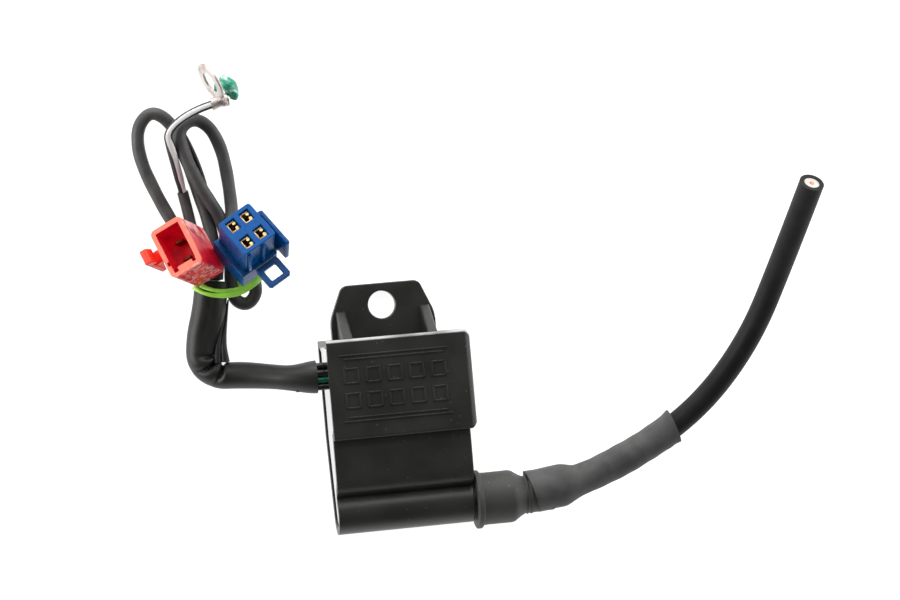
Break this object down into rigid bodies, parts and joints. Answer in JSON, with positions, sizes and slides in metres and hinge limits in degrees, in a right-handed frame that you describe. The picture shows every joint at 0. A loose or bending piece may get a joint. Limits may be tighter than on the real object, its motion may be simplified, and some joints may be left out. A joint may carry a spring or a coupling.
{
  "type": "ignition coil",
  "caption": "Potted small-engine ignition coil with built-in igniter: a black case with a mounting tab, a boot with a high-tension lead, and a tied loom with connectors.",
  "frame": {"origin": "centre of the mounting hole on the tab's back face", "axes": "+X along the case towards the high-tension lead, +Y from the case up the tab, +Z out of the case's front"},
  "size_m": [0.1891, 0.1388, 0.0541],
  "materials": {
    "case_plastic": "satin moulded black",
    "resin": "glossy potting resin",
    "board": "green laminate",
    "film_capacitor": "dipped film",
    "component_black": "moulded package",
    "resistor_body": "lacquered",
    "lamination_steel": "laminated steel",
    "bobbin_plastic": "glass-filled moulding",
    "copper_wire": "enamelled copper",
    "brass": "plated brass",
    "tinned": "tinned",
    "rubber_boot": "matte rubber",
    "shrink": "heat-shrunk sleeve",
    "lead_jacket": "smooth sheath",
    "lead_white": "white insulation",
    "sleeve_black": "soft vinyl",
    "wire_black": "wire insulation",
    "wire_green": "wire insulation",
    "wire_striped": "black with a white stripe",
    "wire_brown": "wire insulation",
    "red_nylon": "moulded nylon",
    "blue_nylon": "moulded nylon",
    "tie_green": "elastic tie"
  },
  "bodies": {
    "root": {"case": "case_plastic", "potting_resin": "resin", "circuit_board": "board", "storage_capacitor": "film_capacitor", "thyristor": "component_black", "rectifier_diodes": "component_black", "resistors": "resistor_body", "trigger_capacitor": "film_capacitor", "iron_core": "lamination_steel", "primary_bobbin": "bobbin_plastic", "primary_winding": "copper_wire", "secondary_bobbin": "bobbin_plastic", "secondary_winding": "copper_wire", "ht_contact": "brass", "green_wire": "wire_green", "lead_wires": "wire_black", "ht_jacket": "lead_jacket", "ht_insulation": "lead_white", "ht_conductor": "tinned", "ht_boot": "rubber_boot", "ht_shrink_sleeve": "shrink", "main_sleeve": "sleeve_black", "red_branch_sleeve": "sleeve_black", "blue_branch_sleeve": "sleeve_black", "ground_sleeve": "sleeve_black", "ground_wire": "wire_striped", "ring_terminal": "tinned", "ground_tail": "wire_green", "harness_tie": "tie_green", "red_housing": "red_nylon", "red_blades": "brass", "red_leads": "wire_brown", "blue_housing": "blue_nylon", "blue_receptacles": "brass", "blue_leads": "wire_black"},
    "red_latch": {"red_latch": "red_nylon"},
    "blue_latch": {"blue_latch": "blue_nylon"}
  },
  "joints": [
    {"name": "red_latch_flex", "type": "hinge", "parent": "root", "child": "red_latch", "pos_m": [-0.06096, 0.01745, 0.01977], "axis": [0.3379, -0.893, 0.2972], "range_deg": [-6, 8], "stiffness_Nm_per_rad": 0.02},
    {"name": "blue_latch_flex", "type": "hinge", "parent": "root", "child": "blue_latch", "pos_m": [-0.03409, 0.01414, 0.02026], "axis": [0.8454, 0.5029, -0.1799], "range_deg": [-15, 10], "stiffness_Nm_per_rad": 0.02}
  ]
}
